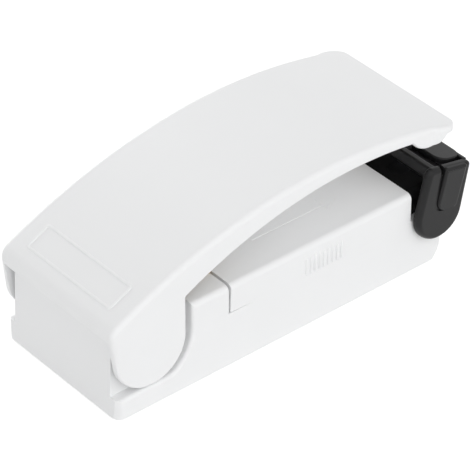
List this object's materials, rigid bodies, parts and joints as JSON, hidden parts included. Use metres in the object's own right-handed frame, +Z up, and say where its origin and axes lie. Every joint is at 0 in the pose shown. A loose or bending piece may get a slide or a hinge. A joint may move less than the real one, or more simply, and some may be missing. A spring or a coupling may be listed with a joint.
{
  "type": "mini bag sealer",
  "caption": "Small battery-powered hand bag sealer: white box base with an arched sprung lever above it, a sliding battery cover and a black swing jaw at the mouth.",
  "frame": {"origin": "middle of the base's underside, where it rests on the table", "axes": "+X towards the mouth, +Y to the left, +Z up"},
  "size_m": [0.0985, 0.044, 0.0394],
  "materials": {
    "white_shell": "satin moulded",
    "white_inner": "satin moulded",
    "black_shell": "fine satin",
    "steel": "plain",
    "dark_steel": "blackened",
    "spring_wire": "bright wire",
    "brass": "stamped",
    "cell_wrap": "gloss wrap",
    "heating_alloy": "rolled ribbon",
    "carrier": "pressed board",
    "release_tape": "coated cloth",
    "silicone": "matt"
  },
  "bodies": {
    "base": {"base_tray": "white_shell", "rear_housing": "white_shell", "front_block": "black_shell", "hinge_axle": "steel", "jaw_pins": "steel", "battery_left": "cell_wrap", "battery_right": "cell_wrap", "contact_leaf_left": "brass", "contact_leaf_right": "brass", "contact_bridge": "brass", "contact_spring_left": "spring_wire", "contact_spring_right": "spring_wire", "return_spring": "spring_wire", "case_screws": "dark_steel"},
    "lever": {"lever_shell": "white_shell", "lever_underplate": "white_inner", "heater_carrier": "carrier", "heating_strip": "heating_alloy", "release_tape": "release_tape", "bus_strip_left": "brass", "bus_strip_right": "brass", "contact_studs": "brass", "underplate_screws": "steel"},
    "jaw": {"swing_jaw": "black_shell", "anvil_pad": "silicone"},
    "cover": {"battery_cover": "white_shell"}
  },
  "joints": [
    {"name": "lever_press", "type": "hinge", "parent": "base", "child": "lever", "pos_m": [-0.0367, 0, 0.0149], "axis": [0, 1, 0], "range_deg": [0, 3.2], "stiffness_Nm_per_rad": 0.8, "springref_deg": -14.32, "deforming": ["return_spring"]},
    {"name": "jaw_swing", "type": "hinge", "parent": "base", "child": "jaw", "pos_m": [0.0422, 0, 0.0149], "axis": [0, 1, 0], "range_deg": [0, 95]},
    {"name": "cover_slide", "type": "slide", "parent": "base", "child": "cover", "axis": [1, 0, 0], "range_m": [0, 0.0044]}
  ]
}
